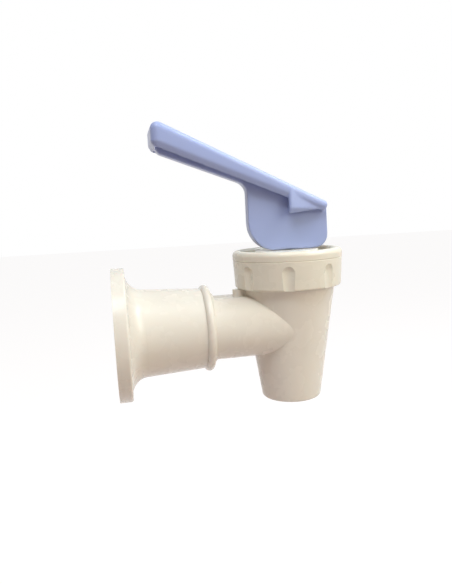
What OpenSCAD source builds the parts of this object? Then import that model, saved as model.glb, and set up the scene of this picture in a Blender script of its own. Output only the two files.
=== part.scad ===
// Push-lever water tap of a drinking-water dispenser.
// The inlet axis is X, pointing away from the wall. The barrel stands on Z.
// The origin is the centre of the flange's back face, on the wall.

/* [Flared sleeve] */
// Radius of the wall flange
flange_r = 25; // [23:0.5:29]
// Thickness of the flange at its rim
flange_t = 4.9; // [4:0.1:6]
// Radius of the hollow curve between flange and tube
flare_r = 6.2; // [5:0.1:7]
// Outer radius of the tube where the flare ends
sleeve_r = 16.5; // [16.2:0.1:17.5]
// Outer radius of the tube at the bead
sleeve_end_r = 15.3; // [15:0.1:15.8]
// Wall of the sleeve
sleeve_wall = 2.2; // [1.6:0.1:2.6]

/* [Inlet and arm] */
// Outer radius of the inlet pipe inside the sleeve
pipe_r = 13; // [12.4:0.1:13.4]
// Distance from the wall to the bead
bead_x = 32.7; // [30:0.1:37]
// Radius of the bead's round section
bead_round = 1.6; // [1.2:0.1:2]
// Radius at the crest of the bead
bead_r = 16.5; // [16.2:0.1:17.5]
// Half height of the oval arm
arm_half_h = 13.1; // [12.4:0.1:13.6]
// Half width of the oval arm
arm_half_w = 15.5; // [14.5:0.1:15.8]
// Radius of the tight arcs at the arm's sides
arm_side_r = 11.5; // [10.5:0.1:12.2]
// Radius of the threaded socket, inside its crests
inlet_r = 9.3; // [8.6:0.1:9.6]
// Length of the threaded socket
inlet_len = 12; // [10:0.5:15]
// Radius of the relief groove behind the thread
relief_r = 10.1; // [9.8:0.1:10.6]
// Thickness of the flat inlet gasket
gasket_t = 2.2; // [1.6:0.1:3]
// Radius of the water passage
passage_r = 7; // [5.5:0.1:7.5]

/* [Barrel and spout] */
// Distance from the wall to the barrel's axis
barrel_x = 67.7; // [65:0.1:74]
// Outer radius of the barrel under the cap
barrel_r = 18; // [17.8:0.1:19]
// Outer radius of the spout's mouth
spout_r = 11.5; // [10.5:0.1:13]
// Height of the spout's mouth below the inlet axis
spout_drop = 30; // [27:0.5:36]
// Wall of the spout
spout_wall = 2.4; // [1.8:0.1:2.8]
// Radius of the round at the spout's mouth
mouth_round = 1.1; // [0.6:0.1:1.2]
// Radius of the valve chamber
chamber_r = 12.2; // [11.6:0.1:12.6]
// Depth of the valve seat below the inlet axis
seat_drop = 9; // [8.6:0.1:10.5]
// Radius of the outlet hole in the seat
outlet_r = 5; // [4:0.1:5.4]
// Radius of the threaded neck
neck_r = 17.4; // [17.2:0.1:17.6]
// Height of the neck's top above the inlet axis
neck_z = 19.5; // [18.8:0.1:20]

/* [Cap] */
// Outer radius of the cap at its lower edge
cap_r = 20.55; // [20.2:0.05:21.5]
// Height of the cap's lower edge above the inlet axis
cap_z = 14.3; // [13.8:0.1:14.8]
// Height of the cap from its lower edge to its lip
cap_h = 14.25; // [13.8:0.05:15]
// How much the cap's radius grows from lower edge to lip
cap_draft = 0.62; // [0.3:0.01:0.8]
// Radius of the raised pad under the lever's foot
pad_r = 12.3; // [11.8:0.1:13]
// Inner radius of the lip
lip_in_r = 18.1; // [17.6:0.1:18.4]
// Depth of the moat between pad and lip
moat_depth = 3.85; // [3:0.05:4.2]
// Number of finger flutes
flute_count = 8; // [6:1:12]
// Radius of a flute's hollow
flute_r = 4; // [3.4:0.1:5]
// Depth of a flute
flute_depth = 0.85; // [0.5:0.05:1.1]
// Height of a flute above the cap's lower edge
flute_h = 9; // [7:0.1:9.5]
// Turn of the first flute from the front
flute_turn = -16; // [-22:1:22]

/* [Valve] */
// Radius of the stem
stem_r = 3; // [2.6:0.1:3.2]
// Thickness of the stem's flat tongue
tongue_t = 2; // [1.6:0.1:2.2]
// Wall of the silicone cup
cup_wall = 1; // [0.8:0.1:1.3]
// Thickness of the cup's clamped rim
cup_rim_t = 1.5; // [1.2:0.1:1.8]
// Radius of the cup's plug
plug_r = 7.2; // [6.8:0.1:7.6]
// Radius of the spring wire
wire_r = 0.45; // [0.35:0.05:0.6]
// Radius of the spring at the middle of its wire
coil_r = 5.6; // [5:0.1:6]
// Turns of the spring
coil_turns = 7; // [5:1:8]
// Outer radius of the washer under the spring
washer_r = 7.4; // [6.8:0.1:7.8]
// Thickness of the washer
washer_t = 1.5; // [1:0.1:2]

/* [Lever] */
// Distance from the barrel's axis to the lever's tip
lever_reach = 50.4; // [47:0.1:53]
// Distance from the barrel's axis to the lever's root
root_back = 15.5; // [14:0.1:17]
// Height of the tip's top above the foot
tip_rise = 49.4; // [47:0.1:52]
// Half width of the lever at its tip
tip_half = 10; // [8:0.1:12]
// Half width of the lever at its root
root_half = 6; // [5.6:0.1:7]
// Fall of the lever's top for each millimetre along it
top_slope = 0.484; // [0.46:0.001:0.5]
// Height of the skirt at the tip
skirt_tip = 9.2; // [8:0.1:10]
// Height of the skirt at the root
skirt_root = 4.2; // [3.6:0.1:5]
// Height of the bevel along the skirt's lower edge
bevel_h = 1.8; // [1:0.1:2.2]
// Inset of the bevel
bevel_in = 1.1; // [0.6:0.1:1.2]
// Thickness of the top plate
plate_t = 2; // [1.6:0.1:2.4]
// Wall of the skirt
skirt_wall = 1.7; // [1.5:0.1:2]
// Thickness of the centre web and fin
fin_t = 5; // [4.8:0.1:5.4]
// Width of the fin
fin_w = 31.5; // [30:0.1:33]
// Radius of the rocking corner of the foot
rock_r = 10.5; // [9.5:0.1:11.5]
// Radius of the foot's back corner
heel_r = 5.3; // [4:0.1:6]
// Radius of the hollow corner between web and fin
web_round = 5; // [3:0.1:7]
// Height of the hinge pin above the foot
pin_rise = 5.75; // [5.5:0.05:6.5]
// Radius of the hinge pin
pin_r = 1.25; // [1:0.05:1.4]

/* [Clearances] */
// Clearance of the sleeve on the pipe
sleeve_gap = 0.15; // [0.1:0.05:0.3]
// Clearance of the cap's thread on the neck
thread_gap = 0.15; // [0.1:0.05:0.25]
// Clearance round the sliding stem
stem_gap = 0.3; // [0.3:0.05:0.4]
// Running clearance of the lever on its pin
pin_gap = 0.05; // [0.03:0.01:0.08]
// Clearance beside the stem's tongue
tongue_gap = 0.3; // [0.3:0.05:0.4]
// Gap between the lever's foot and the pad
foot_gap = 0.15; // [0.1:0.05:0.3]
// Gap at each end of the spring
spring_gap = 0.05; // [0.02:0.01:0.1]

/* [Hidden] */
$fn = 72;
ball_fn = 32;
past = 1;

// Colours
cream = [0.91, 0.87, 0.82];
warm_cream = [0.90, 0.85, 0.79];
lever_blue = [0.68, 0.70, 0.85];
silicone_white = [0.90, 0.91, 0.90];
rubber_black = [0.13, 0.13, 0.13];
steel_grey = [0.72, 0.73, 0.75];
nylon_white = [0.93, 0.93, 0.91];

// Sleeve
rim_round = 0.8;
flare_end_r = sleeve_r + flare_r;
flare_x = flange_t + flare_r;
hollow_r = flare_r + sleeve_wall;
back_in_r = flange_r - 4.4;
guide_len = bead_x - 20;

// Body
bead_mid_x = bead_x + bead_round;
bead_mid_r = bead_r - bead_round;
bead_foot = 1.2;
barrel_slope = (barrel_r - spout_r) / (cap_z + spout_drop);
shoulder_z = cap_z - 0.3;
floor_t = 3;
seat_rise = 1;
seat_land = 1.4;
seat_floor_z = -seat_drop - seat_rise;
spout_bore_r = spout_r - spout_wall;
lug_r = 1.8;
lug_x = barrel_x - cap_r + 0.1;
lug_len = 4;
lug_root = 2;
lug_h = shoulder_z - arm_half_h + lug_root;

// Cap
cap_top_z = cap_z + cap_h;
cap_top_r = cap_r + cap_draft;
cap_bore_r = neck_r + thread_gap;
cap_seat_z = neck_z + cup_rim_t;
lip_mid_r = (cap_top_r + lip_in_r) / 2 - 0.3;
lip_out_round = cap_top_r - lip_mid_r;
lip_in_round = lip_mid_r - lip_in_r;
moat_z = cap_top_z - moat_depth;
pad_z = cap_top_z - 0.45;
pad_round = 0.4;
pad_wall = 2.2;
spring_room_r = coil_r + wire_r + 2;
spring_top_z = pad_z - pad_wall;
cap_edge_round = 0.7;
line_z = cap_top_z - 3.6;
line_depth = 0.16;

// Stem and cup
foot_z = pad_z + foot_gap;
pin_z = foot_z + pin_rise;
tongue_half_w = 2.8;
tongue_foot_z = foot_z - 2.4;
tongue_root = 2;
head_r = stem_r + 0.8;
head_t = 2;
head_z = -seat_drop + 2.5;
collar_r = stem_r + 1.2;
collar_t = 1.5;
collar_z = 3;
washer_z = collar_z + collar_t;
spring_z = washer_z + washer_t;
plug_top_z = head_z + head_t + 2;
plug_edge = 0.7;
cup_top_r = chamber_r - 0.3;
cup_mid_r = washer_r + 0.5;
cup_rim_r = cap_bore_r - 0.25;

// Spring
coil_low = spring_z + wire_r + spring_gap;
coil_high = spring_top_z - wire_r - spring_gap;
coil_sides = 8;
coil_steps = 22;
coil_rings = coil_turns * coil_steps;

// Lever
tip_x = barrel_x - lever_reach;
root_x = barrel_x + root_back;
tip_z = foot_z + tip_rise;
lean = sqrt(1 + top_slope * top_slope);
fin_past = 0.8;
fin_right = root_x + fin_past;
fin_draft = 0.3;
fin_top_in = 0.9;
fin_left = fin_right - fin_w;
rock_x = fin_left + rock_r;
heel_x = fin_right - heel_r;
tip_round = 2.6;
root_round = 1.6;
web_nose = 1.5;
web_slope = 0.382;
web_start_x = tip_x + 8.1;
web_start_z = foot_z + 35.35;
cheek_lead = 0.3;
cheek_x = barrel_x - cheek_lead;
cheek_z = foot_z + 13.75;
cheek_slant = 1.2;
cheek_out = 0.5;
cheek_round = 0.6;
cheek_foot_round = 0.4;
core_round = 1;
core_past = 6;
press_angle = 25;
tongue_play = 0.5;
tongue_room = tongue_half_w + tongue_play;
slot_past = 4;
pin_blind = 0.5;

// Points on an arc, from one angle to the other
function arc(cx, cy, r, from, to, steps) =
    [for (i = [0:steps]) let (a = from + (to - from) * i / steps)
        [cx + r * cos(a), cy + r * sin(a)]];

// Height of the lever's top plane at a place along it
function top_z(x) = tip_z - top_slope * (x - tip_x);

// Height of the skirt at a place along the lever
function skirt_h(x) =
    skirt_tip + (skirt_root - skirt_tip) * (x - tip_x) / (root_x - tip_x);

// Half width of the lever at a place along it
function half_w(x) =
    tip_half + (root_half - tip_half) * (x - tip_x) / (root_x - tip_x);

// Lower edge of the skirt at a place along the lever
function skirt_z(x) = top_z(x) - skirt_h(x);

// Lower edge of the web
function web_z(x) = web_start_z - web_slope * (x - web_start_x);

// Puts a turned shape on the inlet axis
module on_inlet() rotate([0, 90, 0]) children();

// Puts a turned shape on the barrel's axis
module on_barrel() translate([barrel_x, 0, 0]) children();

// Turns a profile given as distance from the axis and place along it
module turned(points) rotate_extrude() polygon(points);

// A round bar across the lever, along Y
module cross_bar(x, z, r, y_from, y_to)
    translate([x, y_to, z]) rotate([90, 0, 0]) cylinder(r = r, h = y_to - y_from);

// A side profile given in X and Z, as thick as said, centred on Y
module side_plate(points, t)
    translate([0, t / 2, 0]) rotate([90, 0, 0]) linear_extrude(t) polygon(points);

// Two balls, one on each side of the lever's middle
module ball_pair(x, y, z, r)
    for (side = [-1, 1]) translate([x, side * y, z]) sphere(r = r, $fn = ball_fn);

// Two upright posts, one on each side of the lever's middle, thin unless said
module post_pair(x, y, z, r, h = 0.3)
    for (side = [-1, 1])
        translate([x, side * y, z]) cylinder(r = r, h = h, $fn = ball_fn);

// Flared sleeve

module sleeve_outside() turned(concat(
    [[0, 0], [flange_r, 0]],
    arc(flange_r - rim_round, flange_t - rim_round, rim_round, 0, 90, 6),
    arc(flare_end_r, flare_x, flare_r, 270, 180, 20),
    [[sleeve_end_r, bead_x], [0, bead_x]]
));

module sleeve_hollow() turned(concat(
    [[0, -past], [back_in_r, -past]],
    [for (p = arc(flare_end_r, flare_x, hollow_r, 255, 180, 14))
        if (p[0] < back_in_r) p],
    [[pipe_r + sleeve_gap, bead_x - guide_len], [0, bead_x - guide_len]]
));

module flare_sleeve() color(cream) on_inlet() difference() {
    sleeve_outside();
    sleeve_hollow();
    cylinder(r = pipe_r + sleeve_gap, h = bead_x + past);
}

// Body

module bead() turned(concat(
    [[0, bead_x], [bead_mid_r, bead_x]],
    arc(bead_mid_r, bead_mid_x, bead_round, -90, 65, 14),
    arc(arm_half_h + bead_foot, bead_mid_x + bead_round + bead_foot,
        bead_foot, 250, 180, 6),
    [[0, bead_mid_x + bead_round + bead_foot]]
));

// The oval has a wide arc above and below and a tight arc at each side
module arm_section() {
    side_mid = arm_half_w - arm_side_r;
    wide_drop = (side_mid ^ 2 + arm_side_r ^ 2 - arm_half_h ^ 2)
        / (2 * (arm_half_h - arm_side_r));
    wide_r = arm_half_h + wide_drop;
    join_y = side_mid * wide_r / (wide_r - arm_side_r);
    intersection() {
        translate([0, -wide_drop]) circle(wide_r);
        translate([0, wide_drop]) circle(wide_r);
        square([2 * join_y, 2 * wide_r], center = true);
    }
    for (side = [-1, 1]) translate([side * side_mid, 0]) circle(arm_side_r);
}

module arm() translate([bead_mid_x, 0, 0]) rotate([90, 0, 90])
    linear_extrude(barrel_x - bead_mid_x) arm_section();

module barrel_outside() turned(concat(
    [[0, shoulder_z], [0, -spout_drop]],
    arc(spout_r + barrel_slope * mouth_round
            - mouth_round * sqrt(1 + barrel_slope * barrel_slope),
        mouth_round - spout_drop, mouth_round, -90, -8, 7),
    [[barrel_r, shoulder_z]]
));

module lug() translate([lug_x, 0, arm_half_h - lug_root]) {
    cylinder(r = lug_r, h = lug_h);
    translate([0, -lug_r, 0]) cube([lug_len, 2 * lug_r, lug_h]);
}

module water_ways() {
    on_inlet() translate([0, 0, -past]) cylinder(r = inlet_r, h = inlet_len + past);
    on_inlet() translate([0, 0, inlet_len]) cylinder(r = relief_r, h = gasket_t);
    on_inlet() cylinder(r = passage_r, h = barrel_x - chamber_r + 2 * past);
    on_barrel() translate([0, 0, seat_floor_z])
        cylinder(r = chamber_r, h = neck_z - seat_floor_z + past);
    on_barrel() translate([0, 0, -spout_drop - past])
        cylinder(r1 = spout_bore_r, r2 = spout_bore_r + barrel_slope
            * (spout_drop + seat_floor_z - floor_t + past),
            h = spout_drop + seat_floor_z - floor_t + past);
}

module valve_seat() on_barrel() difference() {
    translate([0, 0, seat_floor_z - floor_t / 2])
        cylinder(r = outlet_r + seat_land, h = floor_t / 2 - seat_floor_z - seat_drop);
    translate([0, 0, seat_floor_z - floor_t]) cylinder(r = outlet_r, h = 2 * floor_t);
}

module tap_body() color(cream) {
    difference() {
        union() {
            on_inlet() cylinder(r = pipe_r, h = bead_x + bead_round);
            on_inlet() bead();
            arm();
            on_barrel() barrel_outside();
            on_barrel() translate([0, 0, shoulder_z - floor_t])
                cylinder(r = neck_r, h = neck_z - shoulder_z + floor_t);
            lug();
        }
        water_ways();
        on_barrel() translate([0, 0, seat_floor_z - floor_t - past])
            cylinder(r = outlet_r, h = floor_t + 2 * past);
    }
    valve_seat();
}

module inlet_gasket() color(rubber_black) on_inlet()
    translate([0, 0, inlet_len]) difference() {
        cylinder(r = relief_r - 0.15, h = gasket_t);
        translate([0, 0, -past]) cylinder(r = passage_r + 0.2, h = gasket_t + 2 * past);
    }

// Cap

module cap_outside() turned(concat(
    [[0, cap_z]],
    arc(cap_r - cap_edge_round, cap_z + cap_edge_round, cap_edge_round, -90, 0, 5),
    [[cap_top_r - 0.1, line_z - 0.2], [cap_top_r - 0.1 - line_depth, line_z],
        [cap_top_r - 0.06, line_z + 0.2]],
    arc(lip_mid_r, cap_top_z - lip_out_round, lip_out_round, 0, 90, 10),
    arc(lip_mid_r, cap_top_z - lip_in_round, lip_in_round, 90, 180, 8),
    [[lip_in_r - 0.1, moat_z], [pad_r + 0.15, moat_z]],
    arc(pad_r - pad_round, pad_z - pad_round, pad_round, 0, 90, 4),
    [[0, pad_z]]
));

module flute() rotate_extrude() polygon(concat(
    [[0, cap_z - past]], [[flute_r, cap_z - past]],
    arc(0, cap_z + flute_h - flute_r * 0.66, flute_r, 0, 90, 8)
));

module bonnet_cap() color(warm_cream) on_barrel() difference() {
    cap_outside();
    translate([0, 0, cap_z - past])
        cylinder(r = cap_bore_r, h = cap_seat_z - cap_z + past);
    translate([0, 0, cap_seat_z - past])
        cylinder(r = spring_room_r, h = spring_top_z - cap_seat_z + past);
    cylinder(r = stem_r + stem_gap, h = pad_z + past);
    for (i = [0:flute_count - 1])
        rotate([0, 0, flute_turn - 90 + 360 * i / flute_count])
            translate([cap_r + flute_r - flute_depth + 0.25, 0, 0]) flute();
}

// Valve

module seat_cup() color(silicone_white) on_barrel() turned([
    [0, -seat_drop], [plug_r - plug_edge, -seat_drop], [plug_r, -seat_drop + plug_edge],
    [plug_r, plug_top_z], [cup_mid_r + cup_wall, collar_z], [cup_top_r, neck_z - 2],
    [cup_top_r, neck_z], [cup_rim_r, neck_z], [cup_rim_r, cap_seat_z],
    [cup_top_r - cup_wall, cap_seat_z], [cup_top_r - cup_wall, neck_z - 2],
    [cup_mid_r, collar_z], [plug_r - cup_wall, plug_top_z],
    [stem_r + stem_gap, plug_top_z], [stem_r + stem_gap, head_z + head_t],
    [head_r + stem_gap, head_z + head_t], [head_r + stem_gap, head_z - stem_gap],
    [0, head_z - stem_gap]
]);

module spring_seat() color(nylon_white) on_barrel() translate([0, 0, washer_z])
    difference() {
        cylinder(r = washer_r, h = washer_t);
        translate([0, 0, -past]) cylinder(r = stem_r + stem_gap, h = washer_t + 2 * past);
    }

// Height of the wire along the spring, which lies flat for one turn at each end
function coil_z(turn) =
    turn < 1 ? coil_low + 2 * wire_r * turn :
    turn > coil_turns - 1 ? coil_high - 2 * wire_r * (coil_turns - turn) :
    coil_low + 2 * wire_r
        + (coil_high - coil_low - 4 * wire_r) * (turn - 1) / (coil_turns - 2);

// One ring of points round the wire
function coil_ring(i) = let (turn = i / coil_steps, a = 360 * turn)
    [for (k = [0:coil_sides - 1]) let (b = 360 * (k + 0.5) / coil_sides,
        r = coil_r + wire_r * cos(b))
        [r * cos(a), r * sin(a), coil_z(turn) + wire_r * sin(b)]];

module return_spring() color(steel_grey) on_barrel() polyhedron(
    points = [for (i = [0:coil_rings]) each coil_ring(i)],
    faces = concat(
        [[for (k = [0:coil_sides - 1]) k]],
        [for (i = [0:coil_rings - 1], k = [0:coil_sides - 1])
            let (a = i * coil_sides + k, b = i * coil_sides + (k + 1) % coil_sides)
            [a, a + coil_sides, b + coil_sides, b]],
        [[for (k = [coil_sides - 1:-1:0]) coil_rings * coil_sides + k]]
    )
);

module stem() color(nylon_white) difference() {
    union() {
        on_barrel() translate([0, 0, head_z])
            cylinder(r = stem_r, h = tongue_foot_z - head_z);
        on_barrel() translate([0, 0, head_z]) cylinder(r = head_r, h = head_t);
        on_barrel() translate([0, 0, collar_z]) cylinder(r = collar_r, h = collar_t);
        side_plate(concat(
            [[barrel_x - tongue_half_w, tongue_foot_z - tongue_root],
                [barrel_x + tongue_half_w, tongue_foot_z - tongue_root]],
            arc(barrel_x, pin_z, tongue_half_w, 0, 180, 16)
        ), tongue_t);
    }
    cross_bar(barrel_x, pin_z, pin_r, -fin_t, fin_t);
}

module lever_pin() color(steel_grey)
    cross_bar(barrel_x, pin_z, pin_r, -fin_t / 2 + pin_blind, fin_t / 2);

// Lever

module lever_shell() {
    hull() {
        ball_pair(tip_x + tip_round, tip_half - tip_round,
            top_z(tip_x + tip_round) - tip_round * lean,
            tip_round);
        ball_pair(root_x - root_round, root_half - root_round,
            top_z(root_x - root_round) - root_round * lean,
            root_round);
        post_pair(tip_x + tip_round, tip_half - tip_round,
            skirt_z(tip_x + tip_round) + bevel_h, tip_round);
        post_pair(root_x - root_round, root_half - root_round,
            skirt_z(root_x - root_round) + bevel_h, root_round);
        post_pair(tip_x + tip_round, tip_half - tip_round,
            skirt_z(tip_x + tip_round), tip_round - bevel_in);
        post_pair(root_x - root_round, root_half - root_round,
            skirt_z(root_x - root_round), root_round - bevel_in);
    }
    hull() {
        post_pair(cheek_x + cheek_round, half_w(cheek_x) - cheek_round,
            top_z(cheek_x) - plate_t, cheek_round);
        post_pair(cheek_x + cheek_round, half_w(cheek_x) + cheek_out - cheek_round,
            cheek_z + bevel_h, cheek_round);
        post_pair(cheek_x + cheek_foot_round,
            half_w(cheek_x) + cheek_out - bevel_in - cheek_foot_round,
            cheek_z, cheek_foot_round);
        post_pair(root_x - root_round, root_half - root_round,
            cheek_z + cheek_slant, root_round - bevel_in);
    }
}

module lever_hollow() {
    in_tip = tip_x + skirt_wall;
    in_root = root_x - skirt_wall;
    hull() {
        ball_pair(in_tip + core_round, half_w(in_tip) - skirt_wall - core_round,
            top_z(in_tip) - (plate_t + core_round) * lean, core_round);
        ball_pair(in_root - core_round, half_w(in_root) - skirt_wall - core_round,
            top_z(in_root - core_round) - (plate_t + core_round) * lean, core_round);
        post_pair(in_tip + core_round, half_w(in_tip) - skirt_wall - core_round,
            skirt_z(in_tip) - core_past, core_round);
        post_pair(in_root - core_round, half_w(in_root) - skirt_wall - core_round,
            skirt_z(in_root) - core_past, core_round);
    }
    hull() for (x = [cheek_x + skirt_wall + core_round, in_root - core_round])
        post_pair(x, half_w(x) - skirt_wall - core_round, cheek_z - past, core_round,
            skirt_z(x) + core_round - cheek_z + past);
}

module web_and_fin() {
    web_unit = sqrt(1 + web_slope * web_slope);
    web_lean = atan(web_slope);
    round_x = fin_left - web_round;
    round_z = web_z(round_x) - web_round * web_unit;
    side_plate(concat(
        [[tip_x + 1, top_z(tip_x + 1) - 3], [tip_x + 1.4, web_z(tip_x + 1.4) + web_nose],
            [tip_x + 3, web_z(tip_x + 3)]],
        arc(round_x, round_z, web_round, 90 - web_lean, 0, 8),
        arc(rock_x, foot_z + rock_r, rock_r, 180, 270, 24),
        arc(heel_x, foot_z + heel_r, heel_r, 270, 360, 10),
        [[fin_right - fin_draft, cheek_z + 2],
            [fin_right - fin_top_in, top_z(fin_right - fin_top_in) - 0.2],
            [root_x - 2, top_z(root_x - 2) - 0.8]]
    ), fin_t);
}

// Room for the stem's tongue as the lever turns about the pin
module tongue_slot() {
    reach = pin_rise + slot_past;
    side_plate(concat(
        arc(barrel_x, pin_z, tongue_room, 0, 180 - press_angle, 14),
        [[barrel_x - tongue_room - reach * tan(press_angle), pin_z - reach],
            [barrel_x + tongue_room, pin_z - reach]]
    ), tongue_t + 2 * tongue_gap);
}

module lever() color(lever_blue) difference() {
    union() {
        difference() {
            lever_shell();
            lever_hollow();
        }
        web_and_fin();
    }
    tongue_slot();
    cross_bar(barrel_x, pin_z, pin_r + pin_gap, -fin_t / 2 + pin_blind - pin_gap, fin_t);
}

tap_body();
flare_sleeve();
bonnet_cap();
inlet_gasket();
seat_cup();
spring_seat();
return_spring();
stem();
lever_pin();
lever();
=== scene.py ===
import math

import bpy
from mathutils import Matrix, Vector


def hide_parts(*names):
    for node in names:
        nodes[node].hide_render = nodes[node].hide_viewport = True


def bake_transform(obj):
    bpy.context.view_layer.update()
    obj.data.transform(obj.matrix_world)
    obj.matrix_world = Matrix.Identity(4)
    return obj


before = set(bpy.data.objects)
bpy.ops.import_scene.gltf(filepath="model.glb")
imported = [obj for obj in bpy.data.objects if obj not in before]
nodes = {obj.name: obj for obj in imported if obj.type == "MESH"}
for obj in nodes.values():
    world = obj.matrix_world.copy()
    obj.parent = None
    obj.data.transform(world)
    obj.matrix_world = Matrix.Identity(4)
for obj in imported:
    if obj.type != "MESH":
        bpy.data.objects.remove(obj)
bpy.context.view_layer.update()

MM = 0.001

# Camera: a plain lens close to the tap, turned a little to the right and down
CAMERA_AT = Vector((3.53, -204.73, 42.19)) * MM
CAMERA_YAW = -10.882
CAMERA_PITCH = 7.912
CAMERA_ROLL = -2.902
LENS = 33.67

# Colours of the mouldings, linear
CREAM = (0.8, 0.74, 0.64)
WARM_CREAM = (0.79, 0.735, 0.61)
BLUE = (0.375, 0.44, 0.71)

# Light of the sky overhead and at the horizon, and the floor's colour, linear
SKY_LIGHT = (0.2, 0.17, 0.16)
HORIZON_LIGHT = (0.18, 0.14, 0.13)
FLOOR_COLOUR = (0.64, 0.54, 0.51)

# Lamps: name, degrees round from the front, degrees up, watts, colour
LAMPS = (
    ("top", -25, 60, 2.5, (0.88, 0.94, 1)),
    ("right", 80, 50, 2.4, (0.75, 0.88, 1)),
    ("front", 45, 25, 1.5, (1, 0.98, 0.8)),
)
LAMP_SIZE = 0.3
LAMP_DISTANCE = 0.62
LAMP_AIM = Vector((0.045, 0, 0.02))

# Moulded plastic: noise features per metre, what they change, and its gloss
DRIFT_SCALE = 45
GLOSS_SCALE = 160
WAVE_SCALE = 90
SHADE = 0.95
GLOSS_SPREAD = 0.05
WAVE_STRENGTH = 0.25
WAVE_HEIGHT = 0.2 * MM
COAT_ROUGHNESS = 0.08
REFRACTION = 1.45
SPECULAR_LEVEL = 0.4
LIGHT_DEPTH = 3 * MM

# The lever's skin is remade from small cubes of this size and smoothed, which rounds its edges
LEVER_VOXEL = 0.3 * MM
LEVER_ROUNDS = 12

# Floor: its place, half its width, and how white the camera sees it
FLOOR_Z = -0.12
FLOOR_HALF = 3
FLOOR_WHITE = 1.22
FLOOR_WHITE_SHARE = 0.75

# Height in the sky, from 0 to 1, from which its colour stays the same
SKY_TOP = 0.7


def add_camera():
    """The camera at the photograph's place and angle."""
    turn = (
        Matrix.Rotation(math.radians(CAMERA_ROLL), 3, "Z")
        @ Matrix.Rotation(math.radians(CAMERA_PITCH), 3, "X")
        @ Matrix.Rotation(math.radians(CAMERA_YAW), 3, "Y")
    )
    right, down, ahead = turn @ Matrix(((1, 0, 0), (0, 0, -1), (0, 1, 0)))
    data = bpy.data.cameras.new("camera")
    data.lens = LENS
    data.sensor_width = 36
    data.sensor_fit = "AUTO"
    data.clip_start = 0.005
    camera = bpy.data.objects.new("camera", data)
    bpy.context.scene.collection.objects.link(camera)
    camera.matrix_world = (
        Matrix.Translation(CAMERA_AT) @ Matrix((right, -down, -ahead)).transposed().to_4x4()
    )
    bpy.context.scene.camera = camera


def new_material(name):
    material = bpy.data.materials.new(name)
    material.use_nodes = True
    tree = material.node_tree
    return material, tree, tree.nodes["Principled BSDF"]


def add_noise(tree, place, scale, detail):
    """A soft noise in the part's own place, with features of 1 / scale metres."""
    noise = tree.nodes.new("ShaderNodeTexNoise")
    noise.inputs["Scale"].default_value = scale
    noise.inputs["Detail"].default_value = detail
    tree.links.new(place.outputs["Object"], noise.inputs["Vector"])
    return noise


def moulded_plastic(name, colour, roughness, coat=0.0, depth=0.0, tint=(1, 0.6, 0.45)):
    """Moulded plastic: slow colour drift, uneven gloss, faint waves and light within."""
    shade = [channel * SHADE for channel in colour]
    material, tree, shader = new_material(name)
    place = tree.nodes.new("ShaderNodeTexCoord")
    mix = tree.nodes.new("ShaderNodeMix")
    mix.data_type = "RGBA"
    mix.inputs["A"].default_value = (*colour, 1)
    mix.inputs["B"].default_value = (*shade, 1)
    tree.links.new(add_noise(tree, place, DRIFT_SCALE, 2).outputs["Fac"], mix.inputs["Factor"])
    tree.links.new(mix.outputs["Result"], shader.inputs["Base Color"])

    spread = tree.nodes.new("ShaderNodeMapRange")
    spread.inputs["To Min"].default_value = roughness - GLOSS_SPREAD
    spread.inputs["To Max"].default_value = roughness + GLOSS_SPREAD
    tree.links.new(add_noise(tree, place, GLOSS_SCALE, 2).outputs["Fac"], spread.inputs["Value"])
    tree.links.new(spread.outputs["Result"], shader.inputs["Roughness"])

    wave = tree.nodes.new("ShaderNodeBump")
    wave.inputs["Strength"].default_value = WAVE_STRENGTH
    wave.inputs["Distance"].default_value = WAVE_HEIGHT
    tree.links.new(add_noise(tree, place, WAVE_SCALE, 0).outputs["Fac"], wave.inputs["Height"])
    tree.links.new(wave.outputs["Normal"], shader.inputs["Normal"])

    shader.inputs["Coat Weight"].default_value = coat
    shader.inputs["Coat Roughness"].default_value = COAT_ROUGHNESS
    shader.inputs["IOR"].default_value = REFRACTION
    shader.inputs["Specular IOR Level"].default_value = SPECULAR_LEVEL
    shader.inputs["Subsurface Weight"].default_value = depth
    shader.inputs["Subsurface Radius"].default_value = tint
    shader.inputs["Subsurface Scale"].default_value = LIGHT_DEPTH
    return material


def dress(names, material):
    """Gives CAD nodes a material."""
    for name in names:
        mesh = nodes[name].data
        mesh.materials.clear()
        mesh.materials.append(material)


def soften(name, voxel, rounds):
    """Rounds a moulding's edges, as they leave the mould."""
    node = nodes[name]
    skin = node.modifiers.new("skin", "REMESH")
    skin.mode = "VOXEL"
    skin.voxel_size = voxel
    skin.use_smooth_shade = True
    smooth = node.modifiers.new("soften", "SMOOTH")
    smooth.factor = 0.5
    smooth.iterations = rounds


def stretch_between(name, material):
    """A fixed copy, in the given material, of a flexible inner piece that the cap holds at its top
    and the valve moves at its foot; the CAD node is hidden.
    """
    copy = bpy.data.objects.new(name + "_flexible", nodes[name].data.copy())
    bpy.context.scene.collection.objects.link(copy)
    copy.data.materials.clear()
    copy.data.materials.append(material)
    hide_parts(name)
    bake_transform(copy)


def add_lamp(name, turn, rise, watts, colour):
    """A soft square lamp, turned round from the front and raised, that faces the tap."""
    turn = math.radians(turn)
    rise = math.radians(rise)
    away = Vector((math.sin(turn) * math.cos(rise), -math.cos(turn) * math.cos(rise), math.sin(rise)))
    data = bpy.data.lights.new(name, "AREA")
    data.size = LAMP_SIZE
    data.energy = watts
    data.color = colour
    lamp = bpy.data.objects.new(name, data)
    bpy.context.scene.collection.objects.link(lamp)
    lamp.location = LAMP_AIM + LAMP_DISTANCE * away
    lamp.rotation_euler = away.to_track_quat("Z", "Y").to_euler()


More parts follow.
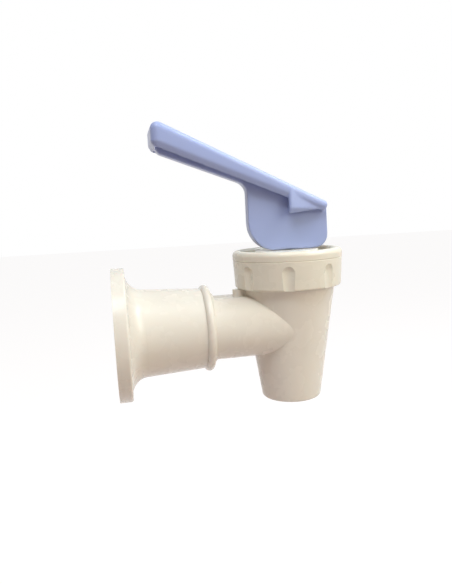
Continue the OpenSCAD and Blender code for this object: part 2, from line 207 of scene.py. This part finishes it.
def seen_rays(tree):
    """1 for the rays that show the white background: camera, glossy and transmission rays."""
    rays = tree.nodes.new("ShaderNodeLightPath")
    total = rays.outputs["Is Camera Ray"]
    for name in ("Is Glossy Ray", "Is Transmission Ray"):
        either = tree.nodes.new("ShaderNodeMath")
        either.operation = "MAXIMUM"
        tree.links.new(total, either.inputs[0])
        tree.links.new(rays.outputs[name], either.inputs[1])
        total = either.outputs[0]
    return total


def add_world():
    """A sky that pales upwards for the light; the camera sees plain white."""
    world = bpy.data.worlds.new("studio")
    bpy.context.scene.world = world
    world.use_nodes = True
    tree = world.node_tree
    sky = tree.nodes["Background"]
    place = tree.nodes.new("ShaderNodeTexCoord")
    parts = tree.nodes.new("ShaderNodeSeparateXYZ")
    height = tree.nodes.new("ShaderNodeMapRange")
    ramp = tree.nodes.new("ShaderNodeValToRGB")
    ramp.color_ramp.elements[0].position = 0
    ramp.color_ramp.elements[0].color = (*HORIZON_LIGHT, 1)
    ramp.color_ramp.elements[1].position = SKY_TOP
    ramp.color_ramp.elements[1].color = (*SKY_LIGHT, 1)
    tree.links.new(place.outputs["Generated"], parts.inputs["Vector"])
    tree.links.new(parts.outputs["Z"], height.inputs["Value"])
    tree.links.new(height.outputs["Result"], ramp.inputs["Fac"])
    tree.links.new(ramp.outputs["Color"], sky.inputs["Color"])
    white = tree.nodes.new("ShaderNodeBackground")
    white.inputs["Color"].default_value = (1, 1, 1, 1)
    choose = tree.nodes.new("ShaderNodeMixShader")
    tree.links.new(seen_rays(tree), choose.inputs["Fac"])
    tree.links.new(sky.outputs["Background"], choose.inputs[1])
    tree.links.new(white.outputs["Background"], choose.inputs[2])
    tree.links.new(choose.outputs["Shader"], tree.nodes["World Output"].inputs["Surface"])


def add_floor():
    """A pale floor below the tap, mostly white to the camera, that keeps a soft shadow."""
    mesh = bpy.data.meshes.new("floor")
    corners = [
        (-FLOOR_HALF, -FLOOR_HALF, FLOOR_Z),
        (FLOOR_HALF, -FLOOR_HALF, FLOOR_Z),
        (FLOOR_HALF, FLOOR_HALF, FLOOR_Z),
        (-FLOOR_HALF, FLOOR_HALF, FLOOR_Z),
    ]
    mesh.from_pydata(corners, [], [(0, 1, 2, 3)])
    floor = bpy.data.objects.new("floor", mesh)
    bpy.context.scene.collection.objects.link(floor)
    material, tree, shader = new_material("floor")
    shader.inputs["Base Color"].default_value = (*FLOOR_COLOUR, 1)
    shader.inputs["Roughness"].default_value = 0.9
    white = tree.nodes.new("ShaderNodeEmission")
    white.inputs["Strength"].default_value = FLOOR_WHITE
    share = tree.nodes.new("ShaderNodeMath")
    share.operation = "MULTIPLY"
    share.inputs[1].default_value = FLOOR_WHITE_SHARE
    mix = tree.nodes.new("ShaderNodeMixShader")
    tree.links.new(seen_rays(tree), share.inputs[0])
    tree.links.new(share.outputs[0], mix.inputs["Fac"])
    tree.links.new(shader.outputs["BSDF"], mix.inputs[1])
    tree.links.new(white.outputs["Emission"], mix.inputs[2])
    tree.links.new(mix.outputs["Shader"], tree.nodes["Material Output"].inputs["Surface"])
    mesh.materials.append(material)


add_camera()
silicone = moulded_plastic("silicone", (0.78, 0.79, 0.77), 0.5, 0, 0.3, (1, 1, 1))
steel = moulded_plastic("steel", (0.6, 0.6, 0.6), 0.3)
steel.node_tree.nodes["Principled BSDF"].inputs["Metallic"].default_value = 1
dress(["tap_body", "flare_sleeve"], moulded_plastic("cream_plastic", CREAM, 0.27, 0.08, 0.15))
dress(["bonnet_cap"], moulded_plastic("cap_plastic", WARM_CREAM, 0.28, 0.08, 0.15))
dress(["lever"], moulded_plastic("lever_plastic", BLUE, 0.3, 0.08, 0.1, (0.5, 0.6, 1)))
dress(["stem", "spring_seat"], moulded_plastic("nylon", (0.8, 0.8, 0.76), 0.45))
dress(["inlet_gasket"], moulded_plastic("rubber", (0.03, 0.03, 0.03), 0.6))
dress(["lever_pin"], steel)
soften("lever", LEVER_VOXEL, LEVER_ROUNDS)
stretch_between("seat_cup", silicone)
stretch_between("return_spring", steel)

add_world()
add_floor()
for lamp in LAMPS:
    add_lamp(*lamp)

scene = bpy.context.scene
scene.view_settings.view_transform = "Standard"
